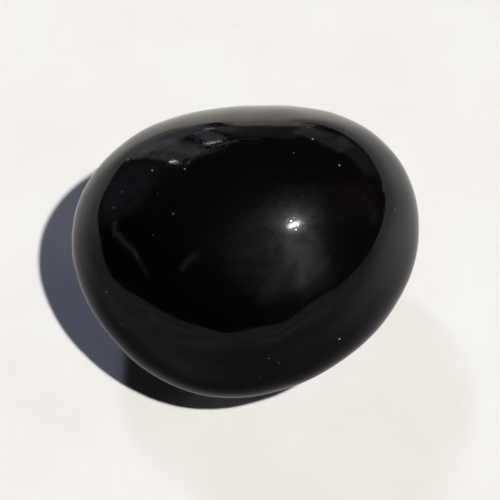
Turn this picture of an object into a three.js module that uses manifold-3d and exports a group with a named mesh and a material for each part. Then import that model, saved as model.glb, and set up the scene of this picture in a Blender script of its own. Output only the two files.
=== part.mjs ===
// A tumbled pebble of black volcanic glass (obsidian), in one solid piece.
//
// Units are millimetres and +Z is up. The pebble lies at rest on a small flat spot worn
// into its underside. Its long axis is X. The origin is on the plane of that flat spot,
// under the middle of the pebble's box.
//
// The shape starts as a ball of evenly spread directions. Each one is pushed out to an
// egg-like body, fuller below than above. Broad shallow faces of the first rough break are
// left in it, with a worn-down ridge between the two halves on the near side. Then the plan
// is made softly three-cornered, both width and height grow towards one end, and the crown
// leans. Last, the pebble rolls forward until its near ridge hangs low.

import Module from 'manifold-3d';
import * as THREE from 'three';
import { mergeVertices } from 'three/addons/utils/BufferGeometryUtils.js';

// Half sizes of the egg-like body, before it leans. The height is given above and below.
const HALF_LENGTH = 14.5;
const HALF_WIDTH = 12.3;
const HEIGHT_ABOVE = 10.1;
const HEIGHT_BELOW = 11.25;

// How boxy the sides are, seen level: 2 is an ellipse, and a lower power is more pointed.
const SIDE_POWER = 1.9;

// The plan bulges at three soft corners, by this share of its radius, the first at this angle.
const CORNER_COUNT = 3;
const CORNER_BULGE = 0.053;
const CORNER_ANGLE = THREE.MathUtils.degToRad(14);

// Shares by which the width and the height have grown at the +X end.
const WIDTH_GROWTH = 0.08;
const HEIGHT_GROWTH = 0.1;

// How far the crown leans to +X, and to +Y, per millimetre of height.
const CROWN_LEAN = 0.07;

// What tumbling left of the rough stone. Each place is a direction from the middle, by its
// azimuth from +X and its elevation. A positive depth is a worn face, in millimetres below
// the egg-like body, and a negative one is a fuller stretch. The spread is an angle too.
const WORN_PLACES = [
  { azimuth: 233, elevation: 20, depth: 0.43, spread: 17 }, // face above the near left
  { azimuth: -15, elevation: 62, depth: -0.43, spread: 20 }, // full crown, to the right
  { azimuth: 273, elevation: 2, depth: 0.75, spread: 21 }, // face all along the near side
];

// The ridge that is left where the upper and lower faces of the near side met. Its height is
// in millimetres. It dies away over one angle upwards, and over wider ones down and sideways.
const RIDGE_HEIGHT = 1.0;
const RIDGE_AZIMUTH = THREE.MathUtils.degToRad(-80);
const RIDGE_ELEVATION = THREE.MathUtils.degToRad(3.5);
const RIDGE_ABOVE = THREE.MathUtils.degToRad(10);
const RIDGE_BELOW = THREE.MathUtils.degToRad(18);
const RIDGE_WIDE = THREE.MathUtils.degToRad(62);

// How the pebble settles on its underside: turned about X, and then a little about Y.
const SETTLED_TURN = new THREE.Euler(THREE.MathUtils.degToRad(18), THREE.MathUtils.degToRad(-2), 0, 'YXZ');

// Height taken off the underside, which leaves a resting spot some 7 mm across.
const FLAT_DEPTH = 0.41;

// An icosahedron's faces, each edge cut into DETAIL + 1 parts, make 20 * (DETAIL + 1) ** 2.
const DETAIL = 19;

// Black glass with a trace of brown and violet, under a polish that mirrors its surroundings.
const OBSIDIAN = new THREE.MeshStandardMaterial({ color: 0x0e0b0d, roughness: 0.06, metalness: 0 });

const wasm = await Module();
wasm.setup();

// The unit vector at an azimuth from +X and an elevation above the XY plane, in degrees.
function directionAt(azimuth, elevation) {
  const around = THREE.MathUtils.degToRad(azimuth);
  const up = THREE.MathUtils.degToRad(elevation);
  return new THREE.Vector3(Math.cos(up) * Math.cos(around), Math.cos(up) * Math.sin(around), Math.sin(up));
}

// Height of the worn-down ridge in a direction from the middle.
function ridgeHeight(direction) {
  const azimuth = Math.atan2(direction.y, direction.x);
  const climb = Math.asin(direction.z) - RIDGE_ELEVATION;
  const fading = climb / (climb > 0 ? RIDGE_ABOVE : RIDGE_BELOW);
  const aside = (Math.cos(azimuth - RIDGE_AZIMUTH) - 1) / RIDGE_WIDE ** 2;
  return RIDGE_HEIGHT * Math.exp(aside - fading ** 2);
}

// Distance from the middle to the skin in a direction, with its worn places and its ridge.
function skinRadius(direction) {
  const level = Math.hypot(direction.x / HALF_LENGTH, direction.y / HALF_WIDTH);
  const rise = Math.abs(direction.z) / (direction.z > 0 ? HEIGHT_ABOVE : HEIGHT_BELOW);
  let radius = (level ** SIDE_POWER + rise ** SIDE_POWER) ** (-1 / SIDE_POWER);
  for (const { azimuth, elevation, depth, spread } of WORN_PLACES) {
    const nearness = direction.dot(directionAt(azimuth, elevation)) - 1;
    radius -= depth * Math.exp(nearness / THREE.MathUtils.degToRad(spread) ** 2);
  }
  return radius + ridgeHeight(direction);
}

// Moves a point of the unit ball to its place on the pebble's skin.
function toSkin(point) {
  const azimuth = Math.atan2(point.y, point.x);
  const level = point.x ** 2 + point.y ** 2;
  const corner = 1 + CORNER_BULGE * Math.cos(CORNER_COUNT * (azimuth - CORNER_ANGLE)) * level;
  point.multiplyScalar(skinRadius(point));
  point.x *= corner;
  point.y *= corner;
  point.y *= 1 + (WIDTH_GROWTH * point.x) / HALF_LENGTH;
  point.z *= 1 + (HEIGHT_GROWTH * point.x) / HALF_LENGTH;
  point.x += CROWN_LEAN * point.z;
  point.y += CROWN_LEAN * point.z;
  return point.applyEuler(SETTLED_TURN);
}

// The whole skin, closed all round, before its resting spot is made.
function pebbleSkin() {
  const skin = new THREE.IcosahedronGeometry(1, DETAIL);
  const positions = skin.attributes.position;
  const point = new THREE.Vector3();
  for (let i = 0; i < positions.count; i += 1) {
    point.fromBufferAttribute(positions, i).normalize();
    toSkin(point);
    positions.setXYZ(i, point.x, point.y, point.z);
  }
  return skin;
}

// A closed geometry as a solid that can be cut.
function toSolid(geometry) {
  const bare = geometry.clone();
  bare.deleteAttribute('normal');
  bare.deleteAttribute('uv');
  const merged = mergeVertices(bare);
  const vertProperties = new Float32Array(merged.attributes.position.array);
  const triVerts = new Uint32Array(merged.index.array);
  return new wasm.Manifold(new wasm.Mesh({ numProp: 3, vertProperties, triVerts }));
}

// A solid back as a geometry.
function toGeometry(solid) {
  const { vertProperties, triVerts } = solid.getMesh();
  const geometry = new THREE.BufferGeometry();
  geometry.setAttribute('position', new THREE.BufferAttribute(vertProperties, 3));
  geometry.setIndex(new THREE.BufferAttribute(triVerts, 1));
  return geometry;
}

// Takes a thin slice off the underside, so that the pebble has a true flat to lie on.
function withRestingSpot(skin) {
  skin.computeBoundingBox();
  const { min, max } = skin.boundingBox;
  const size = max.clone().sub(min);
  const block = new THREE.BoxGeometry(2 * size.x, 2 * size.y, size.z);
  block.translate(0, 0, min.z + FLAT_DEPTH - size.z / 2);
  return toGeometry(toSolid(skin).subtract(toSolid(block)));
}

// Stands a geometry on the XY plane, with the middle of its box on the Z axis.
function standOnOrigin(geometry) {
  geometry.computeBoundingBox();
  const { min, max } = geometry.boundingBox;
  geometry.translate(-(min.x + max.x) / 2, -(min.y + max.y) / 2, -min.z);
  return geometry;
}

const pebble = standOnOrigin(withRestingSpot(pebbleSkin()));
pebble.computeVertexNormals();

const stone = new THREE.Mesh(pebble, OBSIDIAN);
stone.name = 'stone';

const group = new THREE.Group();
group.add(stone);

export default group;
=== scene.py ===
# %% [markdown]
# # A tumbled obsidian pebble
#
# Obsidian is volcanic glass: lava that cooled too fast for crystals to grow in it. A rock
# tumbler rolls a rough chunk in ever finer grit for weeks. That rounds its corners and ends
# in a polish that looks wet. This one is black and some three centimetres long.
#
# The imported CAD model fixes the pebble's size, its place and how it rests. Blender adds the
# fine skin and its polish, and also what a mirror-black thing needs before it looks like
# anything at all: a pale floor, one hard light and a dim room to reflect.

import bpy
import numpy as np
from mathutils import Matrix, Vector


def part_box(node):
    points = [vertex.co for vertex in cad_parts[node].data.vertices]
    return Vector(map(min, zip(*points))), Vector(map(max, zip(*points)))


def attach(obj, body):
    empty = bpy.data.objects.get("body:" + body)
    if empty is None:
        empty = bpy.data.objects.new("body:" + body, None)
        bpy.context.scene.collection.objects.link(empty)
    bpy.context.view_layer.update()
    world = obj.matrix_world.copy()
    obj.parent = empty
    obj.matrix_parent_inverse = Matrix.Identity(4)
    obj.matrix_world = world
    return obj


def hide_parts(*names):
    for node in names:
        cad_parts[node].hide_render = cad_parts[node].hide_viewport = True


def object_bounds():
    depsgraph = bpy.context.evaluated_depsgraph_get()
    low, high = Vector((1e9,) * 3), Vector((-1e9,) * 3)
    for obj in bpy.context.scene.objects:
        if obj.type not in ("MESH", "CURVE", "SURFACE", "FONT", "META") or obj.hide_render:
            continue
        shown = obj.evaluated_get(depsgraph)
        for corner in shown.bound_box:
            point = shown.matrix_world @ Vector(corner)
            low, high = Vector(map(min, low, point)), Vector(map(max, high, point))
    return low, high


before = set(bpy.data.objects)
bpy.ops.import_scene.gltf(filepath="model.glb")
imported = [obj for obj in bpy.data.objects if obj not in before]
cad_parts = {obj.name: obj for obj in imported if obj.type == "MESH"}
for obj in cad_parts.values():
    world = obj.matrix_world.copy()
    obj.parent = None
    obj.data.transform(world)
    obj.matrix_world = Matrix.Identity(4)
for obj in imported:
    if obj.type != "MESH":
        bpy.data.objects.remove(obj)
CAD_LOW, CAD_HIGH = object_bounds()
MM = 0.001
print("CAD box in millimetres:", [round(side / MM, 2) for side in CAD_HIGH - CAD_LOW])

# %% [markdown]
# ## The shape as a formula
#
# A tumbled pebble could be sculpted, or a cube could be subdivided and pushed about. Both
# leave faint lumps in a mirror finish, because the eye reads the bend of a surface from the
# reflections in it. So the skin is one smooth formula, worked out for whole arrays of rays
# from the pebble's middle. It is the CAD model's own formula, at a finer step.
#
# Each ray first meets an egg-like body, fuller below than above. Broad shallow faces of the
# first rough break are taken off it. Where the upper and the lower face of the near side met,
# tumbling has left a soft ridge, which dies away quickly upwards and slowly downwards.

# %% Distance to the skin along each ray
HALF_LENGTH = 14.5 * MM
HALF_WIDTH = 12.3 * MM
HEIGHT_ABOVE = 10.1 * MM
HEIGHT_BELOW = 11.25 * MM
SIDE_POWER = 1.9
# Azimuth from +X and elevation in degrees, then depth, and spread in degrees. A negative
# depth is a fuller stretch.
WORN_PLACES = (
    (233, 20, 0.43 * MM, 17),
    (-15, 62, -0.43 * MM, 20),
    (273, 2, 0.75 * MM, 21),
)
RIDGE_HEIGHT = 1.0 * MM
RIDGE_AZIMUTH, RIDGE_ELEVATION = np.radians([-80, 3.5])
RIDGE_ABOVE, RIDGE_BELOW, RIDGE_WIDE = np.radians([10, 18, 62])


def direction(azimuth, elevation):
    """The unit vector at an azimuth from +X and an elevation above the XY plane, in degrees."""
    around, up = np.radians([azimuth, elevation])
    return np.array([np.cos(up) * np.cos(around), np.cos(up) * np.sin(around), np.sin(up)])


def ridge_height(rays):
    """RIDGE_HEIGHT * exp(-fading^2), which also dies away sideways, round the pebble."""
    climb = np.arcsin(rays[:, 2]) - RIDGE_ELEVATION
    fading = climb / np.where(climb > 0, RIDGE_ABOVE, RIDGE_BELOW)
    aside = (np.cos(np.arctan2(rays[:, 1], rays[:, 0]) - RIDGE_AZIMUTH) - 1) / RIDGE_WIDE**2
    return RIDGE_HEIGHT * np.exp(aside - fading**2)


def skin_distance(rays):
    """(level^p + rise^p)^(-1/p) is the egg, and each worn place takes a bell curve off it."""
    level = np.hypot(rays[:, 0] / HALF_LENGTH, rays[:, 1] / HALF_WIDTH)
    rise = np.abs(rays[:, 2]) / np.where(rays[:, 2] > 0, HEIGHT_ABOVE, HEIGHT_BELOW)
    distance = (level**SIDE_POWER + rise**SIDE_POWER) ** (-1 / SIDE_POWER)
    for azimuth, elevation, depth, spread in WORN_PLACES:
        nearness = rays @ direction(azimuth, elevation) - 1
        distance = distance - depth * np.exp(nearness / np.radians(spread) ** 2)
    return distance + ridge_height(rays)


print("the long axis measures", round(2 * HALF_LENGTH / MM, 1), "mm before the worn places")

# %% [markdown]
# ## Small faults of the real skin
#
# No tumbled stone is a perfect formula. Its polish rolls very slightly, by a hundredth of a
# millimetre, and a few dings from knocks against other stones were never ground away. Bump
# mapping could fake both, but the outline of a reflection shows the difference, so they are
# in the mesh. The rolls are a sum of smooth waves that run in seeded random directions.

# %% Rolls and dings
WAVE_SEED = 11
WAVE_COUNT = 28
WAVE_LENGTHS = (3.0 * MM, 7.5 * MM)
WAVE_HEIGHT = 0.0035 * MM
# Azimuth and elevation in degrees, then how far across and how deep.
DINGS = (
    (205, 40, 0.70 * MM, 0.022 * MM),
    (118, 47, 0.50 * MM, 0.015 * MM),
    (-110, 18, 0.60 * MM, 0.025 * MM),
    (8, 25, 0.65 * MM, 0.020 * MM),
    (62, 12, 0.80 * MM, 0.025 * MM),
    (150, -12, 0.60 * MM, 0.020 * MM),
)


def rolls(points):
    """The summed height of many sine waves, each with its own direction, length and phase."""
    random = np.random.default_rng(WAVE_SEED)
    headings = random.normal(size=(WAVE_COUNT, 3))
    headings /= np.linalg.norm(headings, axis=1, keepdims=True)
    lengths = random.uniform(*WAVE_LENGTHS, size=WAVE_COUNT)
    phases = random.uniform(0, 2 * np.pi, size=WAVE_COUNT)
    turns = points @ (2 * np.pi * headings / lengths[:, None]).T + phases
    return WAVE_HEIGHT * np.sin(turns).sum(1)


def dings(points, rays):
    """Depth of the dings: each is depth * exp(-(gap / radius)^2), at a gap from its axis."""
    total = np.zeros(len(rays))
    for azimuth, elevation, across, depth in DINGS:
        axis = direction(azimuth, elevation)
        gap = np.linalg.norm(np.cross(points, axis), axis=1)
        total += depth * np.exp(-((2 * gap / across) ** 2)) * (rays @ axis > 0)
    return total


print(len(DINGS), "dings and", WAVE_COUNT, "rolling waves")

# %% [markdown]
# ## From rays to the pebble
#
# A ball of latitude and longitude lines pinches at its poles, and a pinch shows in a polish.
# A cube blown up to a ball has none: each of its six faces is a grid of two angles, and the
# tangent of the angles spaces the rays evenly. The edges that neighbours share are welded.

# %% Six grids of rays
STEPS = 120


def ball_of_rays(steps):
    """Unit rays (axis + tan(u) * side + tan(v) * top), for u and v from -45 to 45 degrees."""
    slopes = np.tan(np.linspace(-np.pi / 4, np.pi / 4, steps + 1))
    across, along = np.meshgrid(slopes, slopes, indexing="ij")
    corner = np.arange(steps)[:, None] * (steps + 1) + np.arange(steps)
    quads = np.stack([corner, corner + steps + 1, corner + steps + 2, corner + 1], -1)
    quads = quads.reshape(-1, 4)
    rays, faces = [], []
    for axis in np.concatenate([np.eye(3), -np.eye(3)]):
        side = np.roll(axis, 1)
        top = np.cross(axis, side)
        rays.append((axis + across[..., None] * side + along[..., None] * top).reshape(-1, 3))
        faces.append(quads + len(faces) * (steps + 1) ** 2)
    rays = np.concatenate(rays)
    rays /= np.linalg.norm(rays, axis=1, keepdims=True)
    faces = np.concatenate(faces)
    _, first, welded = np.unique(rays.round(9), axis=0, return_index=True, return_inverse=True)
    return rays[first], welded.reshape(-1)[faces]


rays, faces = ball_of_rays(STEPS)
print(len(rays), "rays and", len(faces), "four-sided faces")

# %% Push the rays out and settle the pebble
CORNER_COUNT = 3
CORNER_BULGE = 0.053
CORNER_ANGLE = np.radians(14)
WIDTH_GROWTH = 0.08
HEIGHT_GROWTH = 0.1
CROWN_LEAN = 0.07
ROLL = np.radians(18)
PITCH = np.radians(-2)
FLAT_DEPTH = 0.41 * MM
FLAT_EDGE = 0.04 * MM


def settled(points):
    """The points turned by ROLL about X, and then by PITCH about Y."""
    x, y, z = points.T
    y, z = y * np.cos(ROLL) - z * np.sin(ROLL), y * np.sin(ROLL) + z * np.cos(ROLL)
    x, z = x * np.cos(PITCH) + z * np.sin(PITCH), z * np.cos(PITCH) - x * np.sin(PITCH)
    return np.stack([x, y, z], 1)


def pebble_points(rays):
    """Rays at their distance, with three soft corners, growing height and a leaning crown."""
    points = rays * skin_distance(rays)[:, None]
    azimuth = np.arctan2(rays[:, 1], rays[:, 0])
    level = rays[:, 0] ** 2 + rays[:, 1] ** 2
    corner = 1 + CORNER_BULGE * np.cos(CORNER_COUNT * (azimuth - CORNER_ANGLE)) * level
    points[:, :2] *= corner[:, None]
    along = points[:, 0] / HALF_LENGTH
    points[:, 1:] *= 1 + np.outer(along, [WIDTH_GROWTH, HEIGHT_GROWTH])
    points[:, :2] += CROWN_LEAN * points[:, 2:]
    points += rays * (rolls(points) - dings(points, rays))[:, None]
    return settled(points)


def with_resting_spot(points):
    """Heights above the cut, rounded off softly: (h + sqrt(h^2 + edge^2)) / 2 is never below 0."""
    height = points[:, 2] - points[:, 2].min() - FLAT_DEPTH
    points[:, 2] = (height + np.sqrt(height**2 + FLAT_EDGE**2)) / 2
    points[:, 2] -= points[:, 2].min()
    return points


points = with_resting_spot(pebble_points(rays))
print("fine skin in millimetres:", (np.ptp(points, axis=0) / MM).round(2))

# %% [markdown]
# ## Fitting the CAD box
#
# The CAD solid has flat facets, which cut a few hundredths of a millimetre inside the true
# curve. The fine skin is shrunk evenly by that little, so that it stays inside the solid's
# box, and it stands on the same spot.

# %% Build the mesh
low, high = (np.array(corner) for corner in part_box("stone"))
shrink = ((high - low) / np.ptp(points, axis=0)).min()
points *= shrink
middle = (points.max(0) + points.min(0)) / 2
points[:, :2] += ((low + high) / 2 - middle)[:2]
points[:, 2] += low[2] - points[:, 2].min()


def build(name, points, faces):
    """A smooth-shaded object at the origin, its place in its mesh, from arrays of corners."""
    mesh = bpy.data.meshes.new(name)
    mesh.vertices.add(len(points))
    mesh.vertices.foreach_set("co", points.astype(np.float32).ravel())
    mesh.loops.add(faces.size)
    mesh.loops.foreach_set("vertex_index", faces.astype(np.int32).ravel())
    mesh.polygons.add(len(faces))
    loop_starts = np.arange(0, faces.size, faces.shape[1], dtype=np.int32)
    mesh.polygons.foreach_set("loop_start", loop_starts)
    mesh.update(calc_edges=True)
    mesh.validate()
    mesh.shade_smooth()
    piece = bpy.data.objects.new(name, mesh)
    bpy.context.scene.collection.objects.link(piece)
    return piece


pebble = build("polished_pebble", points, faces)
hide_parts("stone")
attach(pebble, "root")
a, b, c, d = (points[faces[:, k]] for k in range(4))
volume = (np.cross(b - a, c - a) * a).sum() / 6 + (np.cross(c - a, d - a) * a).sum() / 6
print("shrunk by", round(1 - shrink, 5), "volume in cubic millimetres:", round(volume / MM**3))

# %% [markdown]
# ## Shader maths as Python
#
# A finish is a few formulas over the surface: how rough, how pitted, how brown. In the node
# editor each plus sign is a box to wire by hand. Here one small class stands for a socket,
# and arithmetic on it adds the Math nodes. Any other node comes from one method that takes
# its type, its settings and what goes into its sockets.


# %% A socket that can be calculated with
class Value:
    """One output socket. An expression on it adds Math nodes to its tree."""

    def __init__(self, nodes, socket):
        self.nodes = nodes
        self.socket = socket

    def out(self, name):
        """Another output of the same node."""
        return Value(self.nodes, self.socket.node.outputs[name])

    def math(self, operation, *values):
        """A Math node of that operation on the values."""
        return self.nodes.add("ShaderNodeMath", {"operation": operation}, dict(enumerate(values)))

    def __add__(self, other):
        return self.math("ADD", self, other)

    def __sub__(self, other):
        return self.math("SUBTRACT", self, other)

    def __rsub__(self, other):
        return self.math("SUBTRACT", other, self)

    def __mul__(self, other):
        return self.math("MULTIPLY", self, other)

    def __abs__(self):
        return self.math("ABSOLUTE", self)

    def __gt__(self, other):
        return self.math("GREATER_THAN", self, other)

    __radd__ = __add__
    __rmul__ = __mul__

    def rising(self, start, end):
        """0 below start and 1 above end, with a smooth step between, or falling if end is lower."""
        settings = {"interpolation_type": "SMOOTHSTEP"}
        limits = {"Value": self, "From Min": start, "From Max": end}
        return self.nodes.add("ShaderNodeMapRange", settings, limits)


class Nodes:
    """A node tree that is filled from Python."""

    def __init__(self, tree):
        self.tree = tree
        tree.nodes.clear()

    def add(self, kind, settings=None, inputs=None):
        """A node of that type, as its first output. Settings come first, as they rename sockets."""
        node = self.tree.nodes.new(kind)
        for name, value in (settings or {}).items():
            setattr(node, name, value)
        for key, value in (inputs or {}).items():
            named = [s for s in node.inputs if s.name == key and s.enabled]
            socket = named[0] if named else node.inputs[key]
            if isinstance(value, Value):
                self.tree.links.new(value.socket, socket)
            else:
                socket.default_value = value
        shown = [s for s in node.outputs if s.enabled]
        return Value(self, shown[0]) if shown else None

    def blend(self, share, start, end):
        """The colour that goes from start to end as share goes from 0 to 1."""
        inputs = {"Factor": share, "A": start, "B": end}
        return self.add("ShaderNodeMix", {"data_type": "RGBA"}, inputs)

    def noise(self, place, size, detail=2.0, roughness=0.5):
        """Cloudy noise from 0 to 1, whose largest lumps are about size across."""
        inputs = {"Vector": place, "Scale": 1 / size, "Detail": detail, "Roughness": roughness}
        return self.add("ShaderNodeTexNoise", None, inputs)

    def cells(self, place, size):
        """The distance to the middle of the nearest cell, in cells. Its Color is one per cell."""
        return self.add("ShaderNodeTexVoronoi", None, {"Vector": place, "Scale": 1 / size})


def new_material(name):
    """An empty node material, with its tree ready to fill."""
    material = bpy.data.materials.new(name)
    material.use_nodes = True
    return material, Nodes(material.node_tree)


print("node helpers ready")

# %% [markdown]
# ## Black glass with a tumbled polish
#
# Polished obsidian reflects about four parts in a hundred of what stands square in front of
# it, and nearly everything at its rim. Principled BSDF does that by itself from the index of
# refraction. What the eye takes for real is in the small print: a trace of brown and violet
# in the black, a few open pits, hairline scratches, and a bloom of dust-fine pits around a
# bright light. The bloom is a thin second gloss, the coat, that is much rougher.

# %% Patterns on the glass, in metres on the pebble itself
obsidian, glass = new_material("tumbled_obsidian")
place = glass.add("ShaderNodeTexCoord").out("Object")
CLOUD_SIZE = 9.0 * MM
SMUDGE_SIZE = 5.0 * MM
clouds = glass.noise(place, CLOUD_SIZE, detail=3.0)
smudges = glass.noise(place, SMUDGE_SIZE, detail=4.0, roughness=0.6)

PIT_CELL = 0.9 * MM
PIT_RADIUS = 0.13 * MM
PIT_WALL = 0.5 * PIT_RADIUS
PIT_CHANCE = 0.24
pit_cells = glass.cells(place, PIT_CELL)
lots = glass.add("ShaderNodeSeparateColor", None, {"Color": pit_cells.out("Color")})
# Each cell draws three lots: whether it has a pit, how wide the pit is, and how pale.
pit_radius = (PIT_RADIUS / PIT_CELL) * (0.45 + 0.55 * lots.out("Green"))
pits = (pit_radius - pit_cells).rising(0, PIT_WALL / PIT_CELL) * (lots > 1 - PIT_CHANCE)
pit_paleness = 0.3 + 0.7 * lots.out("Blue")

DUST_CELL = 0.24 * MM
dust_cells = glass.cells(place, DUST_CELL)
dust_lots = glass.add("ShaderNodeSeparateColor", None, {"Color": dust_cells.out("Color")})
dustiness = 0.4 + 0.6 * smudges.rising(0.35, 0.70)
dust = dust_cells.rising(0.45, 0.10) * dust_lots * dustiness
print("pits up to", round(2 * PIT_RADIUS / MM, 2), "mm across")
print("dust-fine pits", round(DUST_CELL / MM, 2), "mm apart")

# %% Hairline scratches
SCRATCH_TURNS = ((0.4, 0.2, 0.9), (1.1, -0.7, 2.3))
SCRATCH_LENGTH = 7.0 * MM
SCRATCH_WIDTH = 0.16 * MM
stretch = (1 / SCRATCH_LENGTH, 1 / SCRATCH_WIDTH, 1 / SCRATCH_LENGTH)
euler = {"rotation_type": "EULER_XYZ"}
times = {"operation": "MULTIPLY"}
scratches = 0
for turn in SCRATCH_TURNS:
    turned = glass.add("ShaderNodeVectorRotate", euler, {"Vector": place, "Rotation": turn})
    drawn = glass.add("ShaderNodeVectorMath", times, {0: turned, 1: stretch})
    lines = glass.add("ShaderNodeTexNoise", None, {"Vector": drawn, "Scale": 1.0, "Detail": 0.0})
    scratches = scratches + lines.rising(0.80, 0.86)
print(len(SCRATCH_TURNS), "families of scratches")

# %% Wire the glass
BROWN_BLACK = (0.0013, 0.0008, 0.0008, 1)
VIOLET_BLACK = (0.0009, 0.0008, 0.0011, 1)
PIT_GREY = (0.30, 0.27, 0.25, 1)
tint = glass.blend(clouds.rising(0.35, 0.65), BROWN_BLACK, VIOLET_BLACK)
# Heights are shares of the deepest pit.
PIT_DEPTH = 0.03 * MM
height = -1.0 * pits + -0.06 * scratches + -0.20 * dust
relief = {"Strength": 1.0, "Distance": PIT_DEPTH, "Height": height}
bumps = glass.add("ShaderNodeBump", None, relief)
gloss = {
    "Base Color": glass.blend(pits * pit_paleness, tint, PIT_GREY),
    "Roughness": 0.035 + 0.02 * smudges + 0.25 * pits,
    "IOR": 1.49,
    "Coat Weight": 0.01 + 0.03 * smudges + 0.12 * dust,
    "Coat Roughness": 0.34,
    "Coat IOR": 1.45,
    "Normal": bumps,
}
surface = glass.add("ShaderNodeBsdfPrincipled", None, gloss)
glass.add("ShaderNodeOutputMaterial", None, {"Surface": surface})
pebble.data.materials.append(obsidian)
print("glass has", len(obsidian.node_tree.nodes), "nodes")

# %% [markdown]
# ## The floor
#
# The pebble lies on a pale matt surface, like card or a painted sill, with a few crumbs on
# it. It is a flat round sheet here: rings and spokes, with one corner in the middle. Being
# round, it is cut off at the same distance all round, and its edge is the horizon in the
# reflections. The rings widen outwards, as only the middle is seen from near.

# %% A round sheet
FLOOR_RADIUS = 350 * MM
RINGS = 24
SPOKES = 96


def round_sheet(radius, rings, spokes):
    """Points r * (cos a, sin a, 0), for rings r that widen outwards and evenly spaced angles a."""
    reach = radius * np.linspace(0, 1, rings + 1)[1:, None] ** 2
    angle = np.linspace(0, 2 * np.pi, spokes, endpoint=False)
    ring_points = np.stack([reach * np.cos(angle), reach * np.sin(angle), 0 * reach * angle], -1)
    points = np.concatenate([[[0, 0, 0]], ring_points.reshape(-1, 3)])
    ring, spoke = np.meshgrid(np.arange(rings - 1), np.arange(spokes), indexing="ij")
    here = 1 + ring * spokes + spoke
    there = 1 + ring * spokes + (spoke + 1) % spokes
    quads = np.stack([here, here + spokes, there + spokes, there], -1).reshape(-1, 4)
    first = 1 + np.arange(spokes)
    fan = np.stack([0 * first, first, np.roll(first, -1)], -1)
    return points, quads, fan


floor_points, floor_quads, floor_fan = round_sheet(FLOOR_RADIUS, RINGS, SPOKES)
floor_mesh = bpy.data.meshes.new("floor")
floor_mesh.from_pydata(floor_points.tolist(), [], floor_quads.tolist() + floor_fan.tolist())
floor = bpy.data.objects.new("floor", floor_mesh)
bpy.context.scene.collection.objects.link(floor)
floor.location.z = CAD_LOW.z

card, card_nodes = new_material("pale_card")
card_place = card_nodes.add("ShaderNodeTexCoord").out("Object")
MOTTLE_SIZE = 14 * MM
mottle = card_nodes.noise(card_place, MOTTLE_SIZE, detail=4.0, roughness=0.65).rising(0.3, 0.7)
CRUMB_CELL = 5 * MM
CRUMB_CHANCE = 0.4
crumb_cells = card_nodes.cells(card_place, CRUMB_CELL)
crumb_lots = card_nodes.add("ShaderNodeSeparateColor", None, {"Color": crumb_cells.out("Color")})
crumbs = crumb_cells.rising(0.045, 0.015) * (crumb_lots > 1 - CRUMB_CHANCE)
WARM_WHITE = (0.835, 0.825, 0.805, 1)
COOL_WHITE = (0.868, 0.866, 0.86, 1)
CRUMB_TAN = (0.62, 0.58, 0.52, 1)
paint = card_nodes.blend(mottle, WARM_WHITE, COOL_WHITE)
card_surface = {
    "Base Color": card_nodes.blend(crumbs, paint, CRUMB_TAN),
    "Roughness": 1.0,
    "Specular IOR Level": 0.0,
}
matt = card_nodes.add("ShaderNodeBsdfPrincipled", None, card_surface)
card_nodes.add("ShaderNodeOutputMaterial", None, {"Surface": matt})
floor.data.materials.append(card)
print("floor of", len(floor_mesh.polygons), "faces")

# %% [markdown]
# ## Where the viewer stands
#
# The picture is taken from high up and a little to the left of the pebble's front, with a
# long lens that hardly tapers. The camera is placed by its direction and distance from the
# middle of the pebble's box. Everything in the room is given as seen by this viewer: an
# azimuth from straight ahead towards the right, and an elevation.

# %% Camera
VIEW_TURN = 10.0
VIEW_ELEVATION = 62.5
VIEW_DISTANCE = 267.4 * MM
# The focal length and the sensor's width, in millimetres as a lens is marked.
LENS = 224.2
SENSOR_WIDTH = 36
AIM_RIGHT = 0.18 * MM
AIM_UP = 0.03 * MM


def seen_at(azimuth, elevation):
    """The unit vector at an azimuth clockwise from the viewer's straight ahead, in degrees."""
    return direction(90 - azimuth - VIEW_TURN, elevation)


back = seen_at(180, VIEW_ELEVATION)
right = seen_at(90, 0)
up = np.cross(back, right)
target = (low + high) / 2 + AIM_RIGHT * right + AIM_UP * up
camera_data = bpy.data.cameras.new("camera")
camera_data.lens = LENS
camera_data.sensor_width = SENSOR_WIDTH
camera_data.clip_start = 0.01
camera_data.clip_end = 10
camera = bpy.data.objects.new("camera", camera_data)
bpy.context.scene.collection.objects.link(camera)
turned = np.eye(4)
turned[:3, :3] = np.stack([right, up, back], 1)
turned[:3, 3] = target + VIEW_DISTANCE * back
camera.matrix_world = Matrix(turned)
bpy.context.scene.camera = camera
print("camera", round(VIEW_DISTANCE / MM), "mm away, at", (turned[:3, 3] / MM).round(1), "mm")

# %% [markdown]
# ## One hard light
#
# The shadow's edge is almost sharp, and the highlight is a small bright spot. Both say that
# the main light is small and far away, so it is a sun lamp two degrees wide, high up and
# behind the viewer's right shoulder.

# %% Key light
KEY_AZIMUTH = 134.2
KEY_ELEVATION = 67.0
KEY_WIDTH = 2.0
KEY_ENERGY = 3.28
KEY_COLOUR = (1.0, 0.975, 0.925)


def sun(name, heading, energy, width, colour):
    """A sun lamp that shines from the heading, a unit vector. Its width is in degrees."""
    side = np.cross([0, 0, 1], heading)
    side /= np.linalg.norm(side)
    turned = np.eye(4)
    turned[:3, :3] = np.stack([side, np.cross(heading, side), heading], 1)
    data = bpy.data.lights.new(name, "SUN")
    data.energy = energy
    data.angle = np.radians(width)
    data.color = colour
    lamp = bpy.data.objects.new(name, data)
    bpy.context.scene.collection.objects.link(lamp)
    lamp.matrix_world = Matrix(turned)
    return lamp


sun("key_light", seen_at(KEY_AZIMUTH, KEY_ELEVATION), KEY_ENERGY, KEY_WIDTH, KEY_COLOUR)
print("key light from", KEY_ELEVATION, "degrees up")

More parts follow.
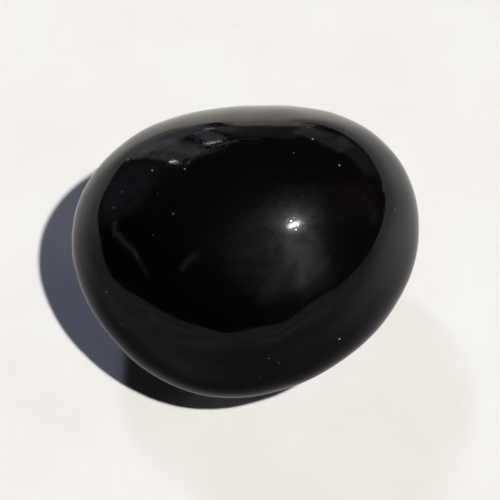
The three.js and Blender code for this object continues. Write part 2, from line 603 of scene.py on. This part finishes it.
# %% [markdown]
# ## Daylight from two far windows
#
# Inside the shadow it isn't dark: weak bluish light comes down from ahead and the left, and
# throws a faint second shadow of its own towards the viewer and the right. It is darkest
# where both shadows meet. Some neutral light comes in low from the right. Each window is a
# wide sun lamp. Their reflections are switched off, because the windows themselves are drawn
# in the room below, where the glass mirrors them at their own brightness.

# %% Window light
# Azimuth, elevation, energy, width in degrees, and colour.
WINDOWS = (
    (-26, 47.5, 0.45, 6, (0.66, 0.72, 1.0)),
    (74, 12.5, 0.30, 14, (0.92, 0.94, 0.88)),
)
for azimuth, height, energy, width, colour in WINDOWS:
    lamp = sun("window_light", seen_at(azimuth, height), energy, width, colour)
    lamp.visible_glossy = False
print(len(WINDOWS), "window lights")

# %% [markdown]
# ## A painted shade round the pebble
#
# A polished thing takes its tones from what it mirrors. Here a second sheet, a hair above the
# floor, glows with painted shade: the dim tones of a floor in shadow. The painted shade fades
# from solid in front of the pebble to clear behind it, and thickens again far away. A strip
# straight ahead glows brightly instead, a painted patch of sun on the sill, and lights up the
# far rim. Only mirror rays meet the sheet, so it throws no shade of its own, and the near
# flank stays black against a floor that is pale all over.

# %% A sheet of painted shade that fades out
SHEET_LIFT = 0.1 * MM
# The painted shade fades along this heading, from solid in front of the pebble to clear beyond it.
SHADE_FADE_HEADING = 8
CLEAR_AHEAD = 20 * MM
SOLID_AHEAD = -28 * MM
# It thickens again with distance, but not fully.
FAR_START, FAR_END = 20 * MM, 130 * MM
FAR_SHARE = 0.7
# The painted glare starts softly ahead, and is a strip to both sides of a middle line.
GLARE_START, GLARE_END = 17 * MM, 36 * MM
GLARE_MIDDLE = -12 * MM
GLARE_SIDE = 22 * MM
GLARE_EDGE = 40 * MM
PAINTED_GLARE_COLOUR = (1.02, 0.97, 0.87, 1)
# The painted shade is clouded, and paler far off than near the pebble.
TONE_SIZE = 28 * MM
PALER_START, PALER_END = 30 * MM, 60 * MM
NEAR_PAINTED_SHADE = (0.085, 0.085, 0.098, 1), (0.118, 0.115, 0.118, 1)
FAR_PAINTED_SHADE = (0.150, 0.145, 0.155, 1), (0.250, 0.235, 0.235, 1)

# The sheet that carries the painted shade, seen only by mirror rays.
painted_shade_sheet = bpy.data.objects.new("painted_shade_sheet", floor_mesh.copy())
bpy.context.scene.collection.objects.link(painted_shade_sheet)
painted_shade_sheet.location.z = CAD_LOW.z + SHEET_LIFT
for kind in ("camera", "diffuse", "transmission", "volume_scatter", "shadow"):
    setattr(painted_shade_sheet, "visible_" + kind, False)

# Its material paints shade and a sunlit strip as light of its own.
painted_floor_shade, dark = new_material("painted_floor_shade")
dark_place = dark.add("ShaderNodeTexCoord").out("Object")


def measured(line):
    """How far a place on the sheet lies along a fixed unit vector."""
    dot = {"operation": "DOT_PRODUCT"}
    return dark.add("ShaderNodeVectorMath", dot, {0: dark_place, 1: tuple(line)}).out("Value")


ahead = measured(seen_at(SHADE_FADE_HEADING, 0))
far = dark.add("ShaderNodeVectorMath", {"operation": "LENGTH"}, {0: dark_place}).out("Value")
near_clear = 1.0 - ahead.rising(CLEAR_AHEAD, SOLID_AHEAD)
far_clear = 1.0 - FAR_SHARE * far.rising(FAR_START, FAR_END)
glare = measured(seen_at(0, 0)).rising(GLARE_START, GLARE_END)
glare = glare * abs(measured(seen_at(90, 0)) - GLARE_MIDDLE).rising(GLARE_EDGE, GLARE_SIDE)
clouded = dark.noise(dark_place, TONE_SIZE, detail=3.0).rising(0.35, 0.65)
near_shade_tone = dark.blend(clouded, *NEAR_PAINTED_SHADE)
far_shade_tone = dark.blend(clouded, *FAR_PAINTED_SHADE)
shade_tone = dark.blend(far.rising(PALER_START, PALER_END), near_shade_tone, far_shade_tone)
# The sheet glows with painted shade: the dim tones of a floor in shadow.
painted_shade = dark.add("ShaderNodeEmission", None, {"Color": shade_tone})
clear = dark.add("ShaderNodeBsdfTransparent")
faded = dark.add("ShaderNodeMixShader", None, {0: near_clear * far_clear, 1: painted_shade, 2: clear})
# A painted glare: the strip of sunlit sill glows as light of its own.
painted_glare = dark.add("ShaderNodeEmission", None, {"Color": PAINTED_GLARE_COLOUR})
mixed = dark.add("ShaderNodeMixShader", None, {0: glare, 1: faded, 2: painted_glare})
dark.add("ShaderNodeOutputMaterial", None, {"Surface": mixed})
painted_shade_sheet.data.materials.clear()
painted_shade_sheet.data.materials.append(painted_floor_shade)
# The sheet's painted shade is solid from this far in front of the pebble.
print("the card is solid from", round(-SOLID_AHEAD / MM), "mm in front")

# %% [markdown]
# ## A dim room
#
# Everything else that shows in the glass is the room: windows ahead, paler walls, a doorway
# behind the viewer, a dark ceiling. Lamps could stand for each, but a world shader does it
# with no clutter. A ray's heading gives two angles, how far it goes up and how far it goes
# sideways from a panel's middle, and the panel is a soft-edged rectangle in those two. Slow
# noise makes a panel patchy, as walls are, and round glows stand for light that is spread
# about the sun by the dust on the stone.
#
# Only mirror rays see all this. The floor gets a plain weak light instead, by a Mix Shader
# that asks what kind of ray arrives, and so the room isn't worked out where it can't show.

# %% Panels of light, by azimuth and elevation as the viewer sees them
# Azimuth, elevation, half width, half height and soft edge in degrees, then how patchy the
# panel is, from 0 to 1, and its radiance.
PANELS = (
    (-32.5, 14, 7.5, 19, 2.0, 0.6, (0.48, 0.49, 0.52)),
    (-19, 3, 6.5, 7, 2.5, 0.4, (0.28, 0.30, 0.34)),
    (-31, 34, 10, 2.5, 2.5, 0.3, (0.22, 0.22, 0.24)),
    (-17, 17, 2.8, 8, 0.8, 0.3, (0.46, 0.42, 0.50)),
    (-19, 26.3, 2.2, 0.9, 0.5, 0, (4.2, 4.4, 5.2)),
    (-13.2, 8, 1.5, 0.8, 0.5, 0, (2.2, 2.2, 2.1)),
    (-40.7, 31.5, 1.0, 0.9, 0.6, 0, (17, 16.5, 17)),
    (-15, 30.3, 3.5, 0.8, 0.6, 0, (0.50, 0.50, 0.55)),
    (-7, 28.3, 5, 0.6, 0.6, 0, (0.22, 0.22, 0.24)),
    (1, 1.0, 8.0, 4.5, 1.5, 0.3, (0.95, 0.83, 0.66)),
    (12, 1.5, 3, 3.0, 1.2, 0.2, (0.55, 0.41, 0.30)),
    (-9.5, 12, 3, 5, 2, 0.4, (0.20, 0.24, 0.23)),
    (0, 15.5, 11, 9.5, 2, 0.4, (0.09, 0.11, 0.10)),
    (17, 11.5, 6.5, 6.5, 1.5, 0.4, (0.27, 0.26, 0.28)),
    (30, 11, 5.5, 9, 2, 0.4, (0.21, 0.20, 0.23)),
    (46, 7.5, 10, 8, 3.5, 0.4, (0.11, 0.09, 0.10)),
    (-62, 18, 16, 16, 8, 0.3, (0.080, 0.092, 0.118)),
    (-87, 14, 6, 2.0, 1.8, 0.3, (0.24, 0.23, 0.23)),
    (-100, 17, 8, 1.4, 1.2, 0.2, (0.21, 0.20, 0.20)),
    (-113, 16.8, 8, 1.5, 1.3, 0, (0.10, 0.10, 0.10)),
    (-137, 37, 2.2, 8, 2.5, 0.2, (0.16, 0.14, 0.15)),
    (76, 24, 12, 16, 11, 0.3, (0.068, 0.038, 0.058)),
    (85, 7, 6, 4, 3.5, 0, (0.06, 0.055, 0.05)),
    (145, 34, 12, 18, 6.5, 0.3, (0.35, 0.36, 0.36)),
    (162, 40, 13.5, 21, 7, 0.5, (0.17, 0.15, 0.13)),
    (142, 12, 10, 8, 6, 0.3, (0.13, 0.13, 0.14)),
)
# The dark ceiling, and the darker shade over the viewer's left shoulder.
CEILING = (0.023, 0.019, 0.025, 1)
SHADE = (0.004, 0.006, 0.005, 1)
SHADE_HEADING = -130
# Round glows: azimuth, elevation, width in degrees, patchiness, and radiance.
GLOWS = (
    (KEY_AZIMUTH, KEY_ELEVATION, 2.1, 0, (46.0, 45.0, 43.0)),
    (KEY_AZIMUTH + 10, KEY_ELEVATION + 0.6, 2.2, 0, (24.0, 23.0, 22.5)),
    (KEY_AZIMUTH - 9, KEY_ELEVATION - 1.3, 2.2, 0, (12.0, 12.0, 12.0)),
    (KEY_AZIMUTH, KEY_ELEVATION, 7.2, 0, (4.2, 4.5, 4.8)),
    (KEY_AZIMUTH, KEY_ELEVATION, 16.0, 0.35, (0.90, 0.95, 1.02)),
    (KEY_AZIMUTH, KEY_ELEVATION, 32.0, 0.4, (0.12, 0.12, 0.13)),
    (148, 36, 19.0, 0.35, (0.17, 0.17, 0.17)),
    (180, 52, 20.0, 0.4, (0.09, 0.09, 0.08)),
)

world = bpy.data.worlds.new("dim_room")
bpy.context.scene.world = world
world.use_nodes = True
room = Nodes(world.node_tree)
heading = room.add("ShaderNodeTexCoord").out("Generated")
DEGREES = 180 / np.pi


def along(line):
    """How far the ray's heading goes along a fixed unit vector."""
    dot = {"operation": "DOT_PRODUCT"}
    return room.add("ShaderNodeVectorMath", dot, {0: heading, 1: tuple(line)})


def add_light(light, share, radiance):
    """The light with a share of another one added to it."""
    settings = {"data_type": "RGBA", "blend_type": "ADD"}
    return room.add("ShaderNodeMix", settings, {"Factor": share, "A": light, "B": (*radiance, 1)})


climb = along((0, 0, 1))
elevation = climb.math("ARCSINE", climb) * DEGREES
shade = along(seen_at(SHADE_HEADING, 0)).rising(0.25, 0.75) * elevation.rising(70, 35)
light = room.blend(shade, CEILING, SHADE)
# A heading is a point on a ball of radius 1, and the patches' size is measured on that ball.
PATCH_SIZE = 0.16
PATCH_GAIN = 1.5
patches = room.noise(heading, PATCH_SIZE, detail=4.0, roughness=0.6)
patches = patches.rising(0.35, 0.65) * PATCH_GAIN


def patchy(share, patchiness):
    """The share where the patches are, and less of it between them."""
    return share * (patches * patchiness + (1.0 - patchiness)) if patchiness else share


for azimuth, height, half_width, half_height, edge, patchiness, radiance in PANELS:
    aside = along(seen_at(azimuth + 90, 0))
    aside = aside.math("ARCSINE", aside) * DEGREES
    beside = abs(aside).rising(half_width + edge, half_width - edge)
    above = abs(elevation - height).rising(half_height + edge, half_height - edge)
    facing = along(seen_at(azimuth, 0)).rising(0, 0.1)
    light = add_light(light, patchy(beside * above * facing, patchiness), radiance)
for azimuth, height, width, patchiness, radiance in GLOWS:
    glow = (along(seen_at(azimuth, height)) - 1) * (2 / np.radians(width) ** 2)
    light = add_light(light, patchy(glow.math("EXPONENT", glow), patchiness), radiance)
print(len(PANELS), "panels of light and", len(GLOWS), "glows")

# %% Mirror rays meet the room, the camera sees a backdrop, and other rays a weak light
AMBIENT = (0.011, 0.010, 0.012, 1)
BACKDROP = (0.90, 0.895, 0.88, 1)
seen = room.add("ShaderNodeLightPath")
plain = room.blend(seen.out("Is Camera Ray"), AMBIENT, BACKDROP)
plain_light = room.add("ShaderNodeBackground", None, {"Color": plain})
mirrored = room.add("ShaderNodeBackground", None, {"Color": light})
choices = {0: seen.out("Is Glossy Ray"), 1: plain_light, 2: mirrored}
surroundings = room.add("ShaderNodeMixShader", None, choices)
room.add("ShaderNodeOutputWorld", None, {"Surface": surroundings})
print("the room has", len(world.node_tree.nodes), "nodes")

# %% [markdown]
# ## The picture's tones
#
# Standard keeps the pale floor pale, where a filmic curve would grey it.

# %% View transform
scene = bpy.context.scene
scene.view_settings.view_transform = "Standard"
scene.view_settings.look = "None"
print("view transform:", scene.view_settings.view_transform)
